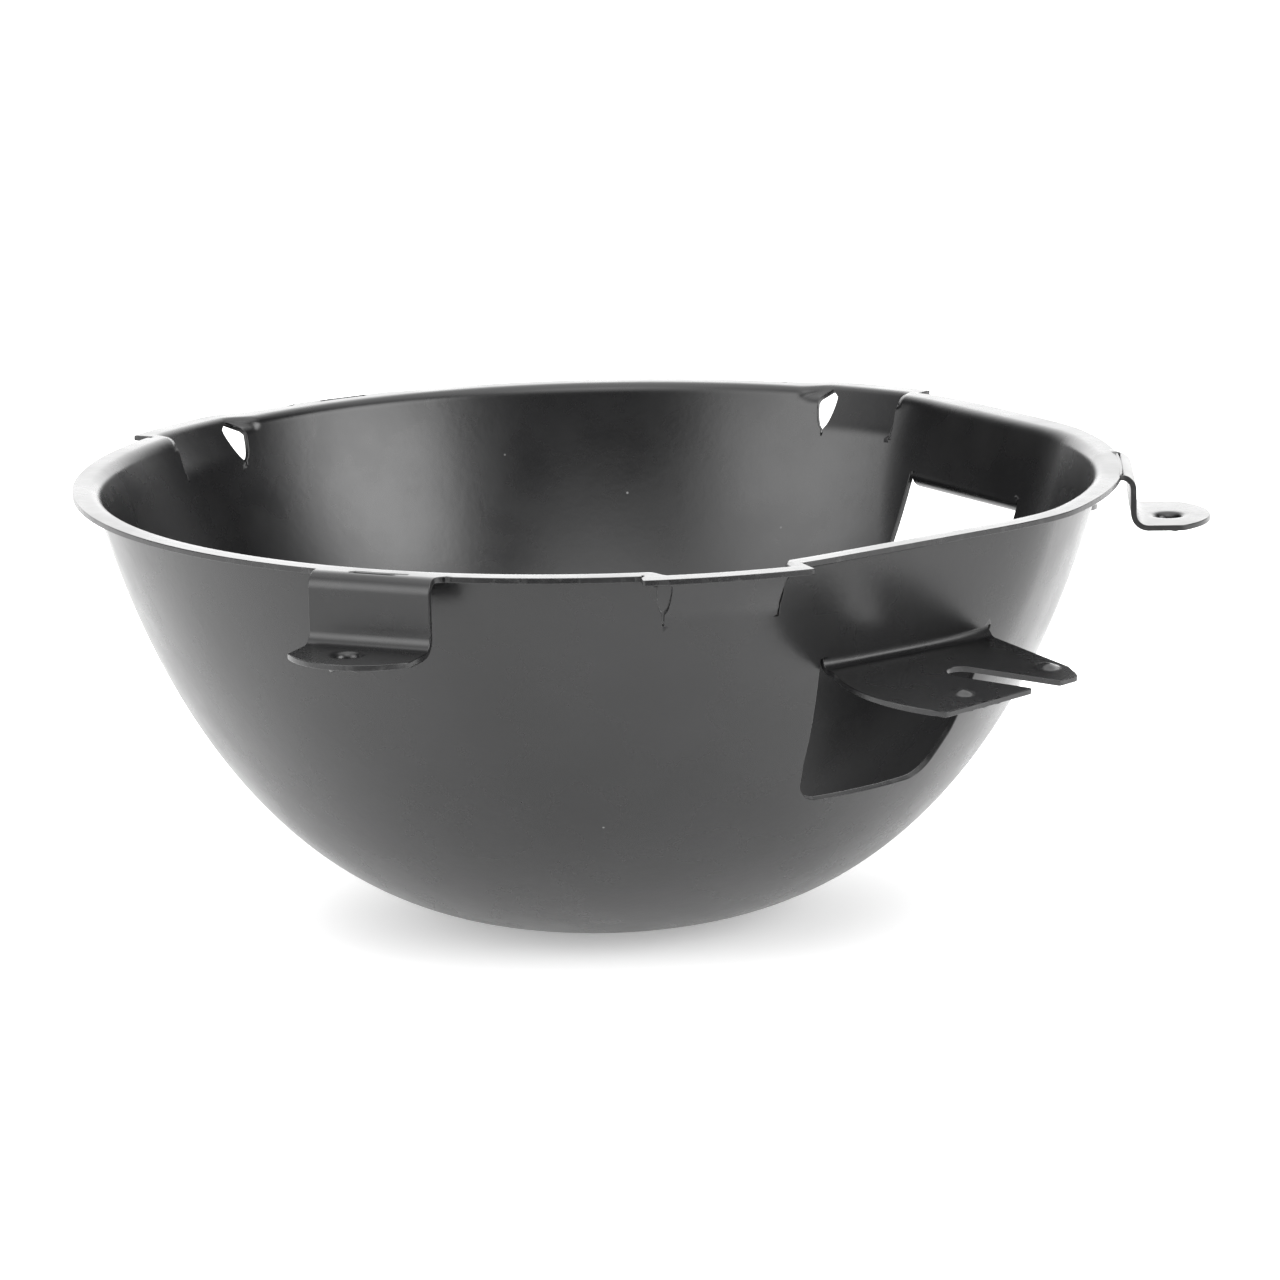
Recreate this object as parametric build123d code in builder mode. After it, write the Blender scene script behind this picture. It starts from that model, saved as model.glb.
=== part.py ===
from build123d import *
from math import cos, radians, sin, tan
import os

# Headlamp bucket: the pressed steel bowl that holds a round 7 inch lamp.
# It is one sheet-metal stamping. Each node below is one formed feature of the
# sheet, and the nodes meet face to face where the press bent or cut the sheet.
# Millimetres. +Z points out of the bowl's mouth, along the lamp's axis.
# The origin is on that axis, on the outside of the bowl's flat base.
# A bearing is an angle about +Z from -Y, growing towards +X.

# ---- driving dimensions ----
SHEET = 1.0                 # sheet thickness
DEPTH = 79.0                # base to the top of the rim flange
RIM_R = 93.0                # outside of the rim flange
WALL_TOP_R = 89.4           # outside of the wall where it meets the flange
BASE_FLAT_R = 15.0          # flat middle of the base
WALL_CURVE = ((47.0, 0.0), (76.0, 25.7))   # (radius, height) handles of the wall's curve

# Lug pockets, each from one bearing to another: the lanced panel and its wider flange.
LUG_POCKETS = {
    "front": dict(panel=(6.7, 19.9), flange=(4.1, 21.3)),
    "rear_right": dict(panel=(140.0, 150.2), flange=(138.8, 156.6)),
    "rear_left": dict(panel=(-130.4, -118.6), flange=(-136.4, -117.4)),
}
LUG_PUSH = 3.4              # how far a pocket stands out from the wall
LUG_DEPTH = 9.6             # from the rim top down to the pocket's crease
LUG_CREASE_R = 86.2         # outside of the panel at the crease
LUG_SLIT = 0.4              # degrees of open slit at each side of the panel

# Ring screw tabs: drop is from the rim top to the top of the foot, web_r the outer
# face of the upright web.
RING_TABS = {
    "front": dict(bearing=-23.3, drop=11.8, web_r=95.6),
    "right": dict(bearing=86.7, drop=9.1, web_r=95.1),
    "rear_left": dict(bearing=211.0, drop=11.8, web_r=95.6),
}
TAB_HOLE_OUT = 5.9          # web to the middle of the screw hole
TAB_HOLE_ALONG = -1.3       # the hole sits a little off the tab's middle
TAB_HOLE_R = 2.1
TAB_TIP_OUT = 13.4          # web to the tip of the foot
TAB_WIDTH = 21.8
TAB_END_ARC_R = 14.0        # rounded end of the foot
TAB_BENDS = (2.4, 1.4)      # radii of the two bends, on the upper face
COLLAR_R = 3.1              # extruded collar under the screw hole
COLLAR_DEPTH = 1.3

# An adjuster tab is lanced from the wall and bent out at the top of its window.
# Tab outlines run along the bend and out from it. The left edge is one curve.
ADJUSTERS = {
    "front": dict(
        bearing=37.0,
        root_z=58.4,            # height of the bend
        flat_r=79.8,            # wall flat at the bend
        rim_flat_r=84.4,        # wall flat at the rim
        rim_cut=5.0,            # how far the rim is pulled in beside the flat
        left_edge=((-14.2, 2.6), (-17.0, 13.5), (-11.7, 28.5)),
        end=((12.6, 25.6), (20.6, 24.6), (22.6, 20.0)),
        slot_start=(5.3, 13.4),
        dimples=((-2.7, 22.0), (19.0, 18.4)),
    ),
    "rear": dict(
        bearing=122.0,
        root_z=64.0,
        flat_r=82.2,
        rim_flat_r=86.6,
        rim_cut=1.6,
        left_edge=((-14.2, 2.0), (-16.0, 9.5), (-11.7, 20.0)),
        end=((10.6, 18.2), (17.2, 17.6), (18.7, 14.6)),
        slot_start=(4.2, 9.4),
        dimples=((-3.4, 15.2), (15.7, 12.4)),
    ),
}
ADJ_DROOP = 6.0             # degrees the tab leans down
ADJ_BEND_R = 1.5
ADJ_STRIP = 1.8             # height of the bend above the tab's root, taken from the wall
ADJ_RELIEF = 0.5            # slit beside the bend
ADJ_REACH = 40.0            # longer than the tab, trimmed by its outline
ADJ_CLEAR = 12.0            # half height of the block that trims it

WINDOW_DEPTH = 25.4         # from the bend down to the window's lower edge
WINDOW_LOW_EDGE = (-11.5, 16.5)     # ends of the straight lower edge, along the bend
WINDOW_SIDES = (-13.4, 20.0)        # the sides where the lower corners begin
WINDOW_SHOULDER = 8.0               # height of the lower corners
WINDOW_CORNER_R = 5.5
SLOT_WIDTH = 6.0
SLOT_TURN = 31.5            # degrees from straight out, in the plane of the tab
SLOT_REACH = 26.0           # long enough to run out of the tab's end
DIMPLE_R = 2.3              # raised pips on the tab
DIMPLE_RISE = 0.7
DIMPLE_TAPER = 25.0


def direction(bearing):
    """Unit vector pointing out from the axis at a bearing."""
    return Vector(sin(radians(bearing)), -cos(radians(bearing)), 0)


def side_plane(bearing, shift=0.0):
    """Upright plane through the axis: x runs outward, y runs up."""
    out = direction(bearing)
    along = direction(bearing + 90)
    return Plane(origin=along * shift, x_dir=out, z_dir=out.cross(Vector(0, 0, 1)))


def plan_plane(bearing, height):
    """Level plane: x runs along the circle (falling bearing), y runs outward."""
    return Plane(origin=(0, 0, height), x_dir=direction(bearing - 90), z_dir=(0, 0, 1))


def face_plane(bearing, distance):
    """Upright plane facing out from the axis: x runs along the circle, y runs up."""
    out = direction(bearing)
    return Plane(origin=out * distance, x_dir=direction(bearing + 90), z_dir=out)


def flat_plane(spec, inset):
    """Leaning plane of a wall flat, facing out, moved in by inset."""
    rise = DEPTH - spec["root_z"]
    run = spec["rim_flat_r"] - spec["flat_r"]
    out = direction(spec["bearing"])
    normal = (out * rise - Vector(0, 0, run)).normalized()
    root = out * spec["flat_r"] + Vector(0, 0, spec["root_z"])
    return Plane(origin=root - normal * inset, z_dir=normal)


def bowl_form(inset, top):
    """Solid of revolution with the bowl's shape, moved in by inset, cut by the flats."""
    (low_r, low_z), (high_r, high_z) = WALL_CURVE
    low_share, high_share, high_lift = 0.4, 0.85, 0.5   # keeps the sheet's thickness even
    with BuildPart() as form:
        with BuildSketch(Plane.XZ):
            with BuildLine():
                wall = Bezier(
                    (BASE_FLAT_R, inset),
                    (low_r - low_share * inset, low_z + inset),
                    (high_r - high_share * inset, high_z + high_lift * inset),
                    (WALL_TOP_R - inset, DEPTH),
                )
                Polyline(wall @ 1, (0, DEPTH), (0, inset), wall @ 0)
            make_face()
        revolve(axis=Axis.Z)
        for spec in ADJUSTERS.values():
            split(bisect_by=flat_plane(spec, inset), keep=Keep.BOTTOM)
        split(bisect_by=Plane.XY.offset(top), keep=Keep.BOTTOM)
    return form.part


def sector(span, inner, outer, low, high):
    """Block between two bearings, two radii and two heights, with flat sides."""
    middle = (span[0] + span[1]) / 2
    left = span[0] - middle
    right = span[1] - middle
    with BuildPart() as block:
        with BuildSketch(plan_plane(middle, low)):
            with BuildLine():
                arc_out = RadiusArc(
                    (outer * sin(radians(left)), outer * cos(radians(left))),
                    (outer * sin(radians(right)), outer * cos(radians(right))),
                    outer,
                )
                arc_in = RadiusArc(
                    (inner * sin(radians(left)), inner * cos(radians(left))),
                    (inner * sin(radians(right)), inner * cos(radians(right))),
                    inner,
                )
                Line(arc_out @ 0, arc_in @ 0)
                Line(arc_out @ 1, arc_in @ 1)
            make_face()
        extrude(amount=high - low)
    return block.part


def window_tool(spec):
    """Prism that cuts the window and its bend reliefs out of the wall."""
    top = spec["root_z"] + ADJ_STRIP
    low = spec["root_z"] - WINDOW_DEPTH
    start = WALL_TOP_R / 2
    with BuildPart() as tool:
        with BuildSketch(face_plane(spec["bearing"], start)):
            with BuildLine():
                Polyline(
                    (spec["left_edge"][0][0] - ADJ_RELIEF, top),
                    (WINDOW_SIDES[0], low + WINDOW_SHOULDER),
                    (WINDOW_LOW_EDGE[0], low),
                    (WINDOW_LOW_EDGE[1], low),
                    (WINDOW_SIDES[1], low + WINDOW_SHOULDER),
                    (spec["end"][-1][0] + ADJ_RELIEF, top),
                    close=True,
                )
            make_face()
            lower_corners = vertices().group_by(Axis.Y)[:2]
            fillet([corner for row in lower_corners for corner in row], radius=WINDOW_CORNER_R)
        extrude(amount=RIM_R - start)
    return tool.part


# ---- the forms that the nodes share ----
OUTER_FORM = bowl_form(0.0, DEPTH - SHEET)
INNER_FORM = bowl_form(SHEET, DEPTH)
WINDOWS = {name: window_tool(spec) for name, spec in ADJUSTERS.items()}
INSIDE_R = 70.0             # inner radius of cutting blocks, well inside the wall near the rim
OUTSIDE_R = 95.0            # and their outer radius, outside the wall

os.makedirs("parts", exist_ok=True)


def save(builder, name):
    """Label a finished piece and write its STEP file."""
    builder.part.label = name
    export_step(builder.part, "parts/" + name + ".step")


# ---- bowl: base and wall, open at the two windows and the three lug pockets ----
with BuildPart() as bowl:
    add(OUTER_FORM)
    add(INNER_FORM, mode=Mode.SUBTRACT)
    for window in WINDOWS.values():
        add(window, mode=Mode.SUBTRACT)
    for pocket in LUG_POCKETS.values():
        add(
            sector(pocket["panel"], INSIDE_R, OUTSIDE_R, DEPTH - LUG_DEPTH, DEPTH),
            mode=Mode.SUBTRACT,
        )
save(bowl, "bowl")


# ---- rim flange: three flat arcs on top of the wall, each from pocket to pocket ----
RIM_ARCS = {
    "left": ("rear_left", "front"),
    "right": ("front", "rear_right"),
    "rear": ("rear_right", "rear_left"),
}


def rim_arc(first, last):
    """Stretch of flat flange between two lug pockets, pulled in beside the wall flats."""
    start = LUG_POCKETS[first]["flange"][1]
    sweep = (LUG_POCKETS[last]["flange"][0] - start) % 360
    with BuildPart() as arc:
        add(sector((start, start + sweep), INSIDE_R, RIM_R, DEPTH - SHEET, DEPTH))
        add(INNER_FORM, mode=Mode.SUBTRACT)
        for spec in ADJUSTERS.values():
            split(
                bisect_by=face_plane(spec["bearing"], RIM_R - spec["rim_cut"]),
                keep=Keep.BOTTOM,
            )
    return arc


for name, (first, last) in RIM_ARCS.items():
    save(rim_arc(first, last), "rim_flange_" + name)


# ---- lug pockets: a wall panel lanced at both sides and pushed out ----
def lug_pocket(panel, flange):
    """Pushed-out panel with its own step of flange on top."""
    crease_z = DEPTH - LUG_DEPTH
    top_z = DEPTH - SHEET
    top_r = WALL_TOP_R + LUG_PUSH
    crease_r = LUG_CREASE_R
    with BuildPart() as pocket:
        add(sector(flange, INSIDE_R, RIM_R + LUG_PUSH, top_z, DEPTH))
        add(INNER_FORM, mode=Mode.SUBTRACT)
        add(
            sector(panel, INSIDE_R, top_r - SHEET, top_z, DEPTH),
            mode=Mode.SUBTRACT,
        )
        with BuildSketch(side_plane(panel[0] + LUG_SLIT)):
            with BuildLine():
                Polyline(
                    (crease_r - SHEET, crease_z),
                    (crease_r, crease_z),
                    (top_r, top_z),
                    (top_r - SHEET, top_z),
                    close=True,
                )
            make_face()
        revolve(axis=Axis.Z, revolution_arc=panel[1] - panel[0] - 2 * LUG_SLIT)
    return pocket


for name, pocket in LUG_POCKETS.items():
    save(lug_pocket(**pocket), "lug_pocket_" + name)


# ---- ring screw tabs: flange bent down, then out to a foot with a screw hole ----
def ring_tab(bearing, drop, web_r):
    """Z-shaped tab whose foot carries an extruded screw hole."""
    foot_z = DEPTH - drop
    half_width = TAB_WIDTH / 2
    below = foot_z - drop           # a level under the whole tab
    height = 2 * drop + SHEET       # from there to above the rim
    root_v = RIM_R - 2 * TAB_BENDS[0]
    hole_v = web_r + TAB_HOLE_OUT
    tip_v = web_r + TAB_TIP_OUT
    end_v = tip_v - TAB_END_ARC_R
    with BuildPart() as tab:
        with BuildSketch(side_plane(bearing, -half_width)):
            with BuildLine():
                FilletPolyline(
                    (root_v, DEPTH),
                    (web_r, DEPTH),
                    (web_r, foot_z),
                    (tip_v + SHEET, foot_z),
                    radius=TAB_BENDS,
                )
                offset(amount=SHEET, side=Side.RIGHT, closed=True)
            make_face()
        extrude(amount=-TAB_WIDTH)
        with BuildSketch(plan_plane(bearing, below)):
            with Locations((0, end_v)):
                Circle(TAB_END_ARC_R)
                Rectangle(TAB_WIDTH, 2 * (end_v - root_v))
        extrude(amount=height, mode=Mode.INTERSECT)
        with BuildSketch(Plane.XY.offset(below)):
            Circle(RIM_R)
        extrude(amount=height, mode=Mode.SUBTRACT)
        with BuildSketch(plan_plane(bearing, foot_z - SHEET - COLLAR_DEPTH)):
            with Locations((-TAB_HOLE_ALONG, hole_v)):
                Circle(COLLAR_R)
        extrude(amount=COLLAR_DEPTH)
        with BuildSketch(plan_plane(bearing, below)):
            with Locations((-TAB_HOLE_ALONG, hole_v)):
                Circle(TAB_HOLE_R)
        extrude(amount=height, mode=Mode.SUBTRACT)
    return tab


for name, tab in RING_TABS.items():
    save(ring_tab(**tab), "ring_tab_" + name)


# ---- adjuster tabs: lanced from the wall, bent out, with an open slanted slot ----
def adjuster_tab(spec):
    """Forked tab with a slot for the lamp's adjuster, and two raised dimples."""
    bearing = spec["bearing"]
    root_z = spec["root_z"]
    root_r = spec["flat_r"]
    lean = (spec["rim_flat_r"] - root_r) / (DEPTH - root_z)
    fall = tan(radians(ADJ_DROOP))
    left = min(along for along, out in spec["left_edge"]) - SHEET
    root_left = spec["left_edge"][0][0]
    right = spec["end"][-1][0]
    below = root_z - ADJ_CLEAR      # a level under the whole tab
    upright = 2 * ADJ_STRIP         # length of wall above the bend before it is trimmed
    turn = radians(SLOT_TURN)
    slot_along, slot_out = spec["slot_start"]
    slot_middle = (
        -slot_along - SLOT_REACH / 2 * sin(turn),
        root_r + slot_out + SLOT_REACH / 2 * cos(turn),
    )
    with BuildPart() as tab:
        with BuildSketch(side_plane(bearing, left)):
            with BuildLine():
                FilletPolyline(
                    (root_r + lean * upright, root_z + upright),
                    (root_r, root_z),
                    (root_r + ADJ_REACH, root_z - ADJ_REACH * fall),
                    radius=ADJ_BEND_R,
                )
                offset(amount=SHEET, side=Side.RIGHT, closed=True)
            make_face()
        extrude(amount=left - right)
        split(bisect_by=Plane.XY.offset(root_z + ADJ_STRIP), keep=Keep.BOTTOM)
        with BuildSketch(plan_plane(bearing, below)):
            with BuildLine():
                left_edge = Spline(*[(-along, root_r + out) for along, out in spec["left_edge"]])
                Polyline(
                    left_edge @ 1,
                    *[(-along, root_r + out) for along, out in spec["end"]],
                    (-right, root_r - 2 * SHEET),
                    (-root_left, root_r - 2 * SHEET),
                    left_edge @ 0,
                )
            make_face()
            with Locations(Location(slot_middle, (0, 0, 90 + SLOT_TURN))):
                SlotCenterToCenter(SLOT_REACH, SLOT_WIDTH, mode=Mode.SUBTRACT)
        extrude(amount=2 * ADJ_CLEAR, mode=Mode.INTERSECT)
        for along, out in spec["dimples"]:
            middle_z = root_z - out * fall - SHEET / 2
            with BuildSketch(plan_plane(bearing, middle_z)):
                with Locations((-along, root_r + out)):
                    Circle(DIMPLE_R)
            extrude(amount=SHEET / 2 + DIMPLE_RISE, taper=DIMPLE_TAPER)
    return tab


for name, spec in ADJUSTERS.items():
    save(adjuster_tab(spec), "adjuster_tab_" + name)
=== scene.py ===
from math import acos, asin, atan, atan2, ceil, cos, degrees, pi, radians, sin, sqrt, tan

import bpy
import numpy as np
from mathutils import Matrix, Vector
from mathutils.geometry import delaunay_2d_cdt


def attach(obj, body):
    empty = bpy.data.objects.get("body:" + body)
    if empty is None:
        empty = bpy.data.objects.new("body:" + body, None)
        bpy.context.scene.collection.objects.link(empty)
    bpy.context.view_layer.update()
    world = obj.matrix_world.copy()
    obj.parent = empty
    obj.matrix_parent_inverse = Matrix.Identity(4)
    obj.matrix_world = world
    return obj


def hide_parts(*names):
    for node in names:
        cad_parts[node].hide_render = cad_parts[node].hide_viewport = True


# Headlamp bucket: one pressed sheet with a satin black coating.
# The whole sheet is laid out as one middle surface, in millimetres, and then each
# named piece gets its thickness with rounded cut edges. Neighbouring pieces share
# the same points and normals at their seam, so the sheet runs on without a line.
# A bearing is an angle about +Z from -Y, growing towards +X.

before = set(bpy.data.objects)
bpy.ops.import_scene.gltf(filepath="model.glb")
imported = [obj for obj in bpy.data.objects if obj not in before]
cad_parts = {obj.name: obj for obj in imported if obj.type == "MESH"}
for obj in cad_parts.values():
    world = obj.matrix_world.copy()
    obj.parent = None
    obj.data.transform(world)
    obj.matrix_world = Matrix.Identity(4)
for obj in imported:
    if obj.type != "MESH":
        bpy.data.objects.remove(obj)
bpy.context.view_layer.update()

MM = 0.001

# ---- sheet and bowl ----
SHEET = 1.0
HALF = SHEET / 2
DEPTH = 79.0
RIM_R = 93.0
WALL_PROFILE = ((15.0, 0.0), (47.0, 0.0), (76.0, 25.7), (89.4, DEPTH))
BASE_RINGS = (3.0, 6.0, 9.0, 12.0)
RIM_BEND_R = 1.7            # middle of the sheet, wall to flange
WALL_LEAN = 14.1            # degrees from upright where the wall meets the flange
EDGE_R = 0.16               # rounding of the cut edges
ROW_STEP = 1.6
COLUMN_STEP = 0.8           # degrees
RIM_BEND_STEPS = 6
FLANGE_STEPS = 3
WALL_END_Z = 76.9           # where the wall's own rows end, below the rim bend

# ---- lug pockets ----
# Bearings of the lanced panel's sides and of the wider flange's ends. A square end
# stops short, the others run back into the rim. gape is how far each slit stands open,
# in degrees each side, and lift how far the crease lies above its usual height.
LUG_POCKETS = {
    "front": dict(
        panel=(6.7, 19.9),
        flange=(4.1, 21.3),
        square=(True, True),
        gape=(0.6, 0.4),
        lift=0.0,
    ),
    "rear_right": dict(
        panel=(140.0, 150.2),
        flange=(138.8, 156.6),
        square=(True, False),
        gape=(0.05, 0.8),
        lift=1.0,
    ),
    "rear_left": dict(
        panel=(-130.4, -118.6),
        flange=(-136.4, -117.4),
        square=(False, True),
        gape=(1.0, 0.1),
        lift=1.2,
    ),
}
LUG_PUSH = 3.4
LUG_CREASE_Z = DEPTH - 9.6
LUG_CREASE_SOFT = 2.2
LUG_EDGE_R = RIM_R + LUG_PUSH
LUG_LEAN = 36.0             # degrees from upright, of the pushed-out panel
LUG_SLIT = 0.1              # degrees each side of the shear line, at its foot
LUG_GAPE_Z = (71.6, 76.2)   # foot of the gape, and where it is widest
LUG_GAPE_REACH = 2.6        # degrees over which the sheet gives way beside the slit
LUG_PULL_Z = 76.4           # above this the wall beside a slit is pulled out too
LUG_ROUND_RISE = 7.0        # above the crease, where a wall flat has given way to round
LUG_REACH = 8.0             # degrees beyond the panel that can belong to a pocket
LUG_BESIDE = 4.0            # degrees beyond the panel that its shape still touches
LUG_FADE = 0.6              # part of the ear over which the wall goes back to plain
EAR_STEP = 0.4              # degrees between the columns across an ear
EAR_RIM = 1.3               # width of the ear's outer strip
EAR_LEAST = 0.08            # least share of the push, so that the strip has a width
EAR_RUN_OUT = 0.6           # part of a running-out ear that lies inside its outer strip

# ---- ring screw tabs ----
RING_TABS = {
    "front": dict(bearing=-23.3, drop=11.8, web_r=95.6),
    "right": dict(bearing=86.7, drop=9.1, web_r=95.1),
    "rear_left": dict(bearing=211.0, drop=11.8, web_r=95.6),
}
TAB_HALF = 10.9
TAB_FILLETS = (0.35, 1.4)   # root fillets on the falling and the growing side
TAB_BENDS = (2.2, 2.6)      # middle of the sheet, at the rim and at the foot
TAB_HOLE_OUT = 5.9          # from the web's outer face
TAB_HOLE_ALONG = -1.3       # the hole sits a little off the tab's middle
TAB_HOLE_R = 2.1
TAB_TIP_OUT = 13.4
TAB_END_R = 14.0
TAB_STEPS = 7               # rows over each bend and over the web
TAB_COLUMN_COUNT = 23
FOOT_GRID = 1.1
COLLAR_BEND_R = 0.8
COLLAR_DEPTH = 1.8
COLLAR_RAGGED = (0.16, 0.12)
HOLE_TURNS = np.linspace(0, 2 * pi, 33)[:-1]

# ---- adjuster tabs and their windows ----
# Outlines run along the bend and out from it. soft is the width, in mm, over which
# the wall flat blends into the round wall.
ADJUSTERS = {
    "front": dict(
        bearing=37.0,
        root_z=58.4,
        flat_r=79.8,
        rim_flat_r=84.4,
        rim_cut=5.0,
        soft=3.6,
        left_edge=((-14.2, 2.6), (-17.0, 13.5), (-11.7, 28.5)),
        end=((12.6, 25.6), (20.6, 24.6), (22.6, 20.0)),
        slot_start=(5.3, 13.4),
        dimples=((-2.7, 22.0), (19.0, 18.4)),
    ),
    "rear": dict(
        bearing=122.0,
        root_z=64.0,
        flat_r=82.2,
        rim_flat_r=86.6,
        rim_cut=1.6,
        soft=1.6,
        left_edge=((-14.2, 2.0), (-16.0, 9.5), (-11.7, 20.0)),
        end=((10.6, 18.2), (17.2, 17.6), (18.7, 14.6)),
        slot_start=(4.2, 9.4),
        dimples=((-3.4, 15.2), (15.7, 12.4)),
    ),
}
ADJ_DROOP = 6.0
ADJ_STRIP = 1.8
ADJ_BEND_R = 1.7            # middle of the sheet
ADJ_BEND_STEPS = 9
ADJ_COLUMN_COUNT = 31
ADJ_RELIEF = 0.5
PLATE_GRID = 1.15
WINDOW_DEPTH = 25.4
WINDOW_LOW_EDGE = (-11.5, 16.5)
WINDOW_SIDES = (-13.4, 20.0)
WINDOW_SHOULDER = 8.0
WINDOW_CORNER_R = 5.5
WINDOW_SCALE = radians(1) * 80.0    # mm for a degree, where the wall is laid out flat
SLOT_HALF = 3.0
SLOT_TURN = 31.5
DIMPLE_R = 2.5
DIMPLE_RISE = 0.75
DIMPLE_RINGS = (0.5, 1.0, 1.5, 2.0, 2.5, 3.0)


# ---------------------------------------------------------------- small helpers
def out_of(bearing):
    """Unit vectors pointing out from the axis at these bearings (degrees)."""
    angle = np.radians(bearing)
    return np.stack([np.sin(angle), -np.cos(angle), np.zeros_like(angle)], axis=-1)


def smooth(x):
    x = np.clip(x, 0.0, 1.0)
    return x * x * (3 - 2 * x)


def soft_min(a, b, width):
    """Smaller of two lengths, with a round change-over."""
    h = np.clip(0.5 + 0.5 * (b - a) / width, 0.0, 1.0)
    return b + (a - b) * h - width * h * (1 - h)


def offset_of(bearings, middle):
    """Bearings measured from a middle, within -180 to 180."""
    return (np.asarray(bearings) - middle + 180.0) % 360.0 - 180.0


def unit(v):
    length = np.linalg.norm(v, axis=-1, keepdims=True)
    return v / np.where(length < 1e-12, 1.0, length)


# ---------------------------------------------------------------- wall surface
def bezier_middle(samples=600):
    """Points along the middle of the bowl's wall, as radius and height."""
    t = np.linspace(0, 1, samples)[:, None]
    p = np.array(WALL_PROFILE)
    line = (1 - t) ** 3 * p[0] + 3 * (1 - t) ** 2 * t * p[1]
    line = line + 3 * (1 - t) * t**2 * p[2] + t**3 * p[3]
    slope = unit(np.gradient(line, axis=0))
    return line + HALF * np.stack([-slope[:, 1], slope[:, 0]], axis=1)


PROFILE = bezier_middle()
PROFILE_S = np.concatenate([[0], np.cumsum(np.linalg.norm(np.diff(PROFILE, axis=0), axis=1))])


def height_at(s):
    return np.interp(s, PROFILE_S, PROFILE[:, 1])


def length_at(z):
    return np.interp(z, PROFILE[:, 1], PROFILE_S)


def round_radius(s):
    return np.interp(s, PROFILE_S, PROFILE[:, 0])


def flat_distance(spec, z):
    """Distance of a wall flat's middle surface from the axis, at a height."""
    lean = (spec["rim_flat_r"] - spec["flat_r"]) / (DEPTH - spec["root_z"])
    return spec["flat_r"] + lean * (z - spec["root_z"]) - HALF * sqrt(1 + lean * lean)


def beside_flats(radius, bearings, distances):
    """Radius pulled in where the wall or the rim runs along an adjuster's flat."""
    for spec, distance in zip(ADJUSTERS.values(), distances):
        turn = np.clip(np.abs(offset_of(bearings, spec["bearing"])), 0.0, 60.0)
        radius = soft_min(radius, distance / np.cos(np.radians(turn)), spec["soft"])
    return radius


def wall_radius(bearings, s):
    z = height_at(s)
    flats = [flat_distance(spec, z) for spec in ADJUSTERS.values()]
    return beside_flats(round_radius(s), bearings, flats)


def wall_point(bearings, s):
    """Points of the wall's middle surface."""
    bearings, s = np.broadcast_arrays(np.asarray(bearings, float), np.asarray(s, float))
    point = out_of(bearings) * wall_radius(bearings, s)[..., None]
    point[..., 2] = height_at(s)
    return point


def wall_normal(bearings, s):
    """Unit normals of the wall, pointing out of the bowl."""
    step = 0.05
    along = wall_point(bearings + step, s) - wall_point(bearings - step, s)
    up = wall_point(bearings, s + step) - wall_point(bearings, s - step)
    return unit(np.cross(along, up))


# ---------------------------------------------------------------- the sheet's mesh
class Sheet:
    """Middle surface of the sheet. Faces turn so that their normal leaves the bowl."""

    def __init__(self):
        self.points = []
        self.known_normals = {}
        self.faces = []
        self.face_piece = []

    def add(self, points):
        first = len(self.points)
        self.points.extend(np.asarray(points, float).reshape(-1, 3))
        return np.arange(first, len(self.points))

    def face(self, corners, piece):
        self.faces.append(tuple(int(c) for c in corners))
        self.face_piece.append(piece)

    def strip(self, low, high, piece):
        """Quads between two rows of points of equal length."""
        for j in range(len(low) - 1):
            self.face((low[j], low[j + 1], high[j + 1], high[j]), piece)


sheet = Sheet()


def inside(polygon, points):
    """Which points are inside a closed outline (even-odd rule)."""
    x, y = points[:, 0], points[:, 1]
    within = np.zeros(len(points), bool)
    for (x0, y0), (x1, y1) in zip(polygon, np.roll(polygon, -1, axis=0)):
        if y0 != y1:
            crosses = (y0 > y) != (y1 > y)
            within ^= crosses & (x < (x1 - x0) * (y - y0) / (y1 - y0) + x0)
    return within


def clear_of(loops, points, gap):
    """Which points are at least a gap away from every outline's own points."""
    rims = np.concatenate(loops)
    away = np.ones(len(points), bool)
    for start in range(0, len(points), 500):
        part = points[start:start + 500]
        distance = np.linalg.norm(part[:, None] - rims[None], axis=2).min(axis=1)
        away[start:start + 500] = distance > gap
    return away


def fill(loops, ids, inner, inner_ids, piece, holes=(), turn=1):
    """Triangles over the area inside loops[0] and outside the loops listed in holes."""
    coordinates = np.concatenate(list(loops) + [inner])
    names = np.concatenate(list(ids) + [inner_ids])
    edges = []
    start = 0
    for loop in loops:
        count = len(loop)
        edges += [(start + k, start + (k + 1) % count) for k in range(count)]
        start += count
    made = delaunay_2d_cdt([Vector(c) for c in coordinates], edges, [], 0, 1e-7)
    places, triangles, origin = made[0], made[2], made[3]
    places = np.array([tuple(p) for p in places])
    triangles = np.array([t for t in triangles if len(t) == 3])
    centres = places[triangles].mean(axis=1)
    keep = inside(loops[0], centres)
    for k in holes:
        keep &= ~inside(loops[k], centres)
    for corners in triangles[keep]:
        a, b, c = places[corners]
        if turn * ((b[0] - a[0]) * (c[1] - a[1]) - (b[1] - a[1]) * (c[0] - a[0])) < 0:
            corners = corners[::-1]
        sheet.face([names[origin[k][0]] for k in corners], piece)


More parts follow.
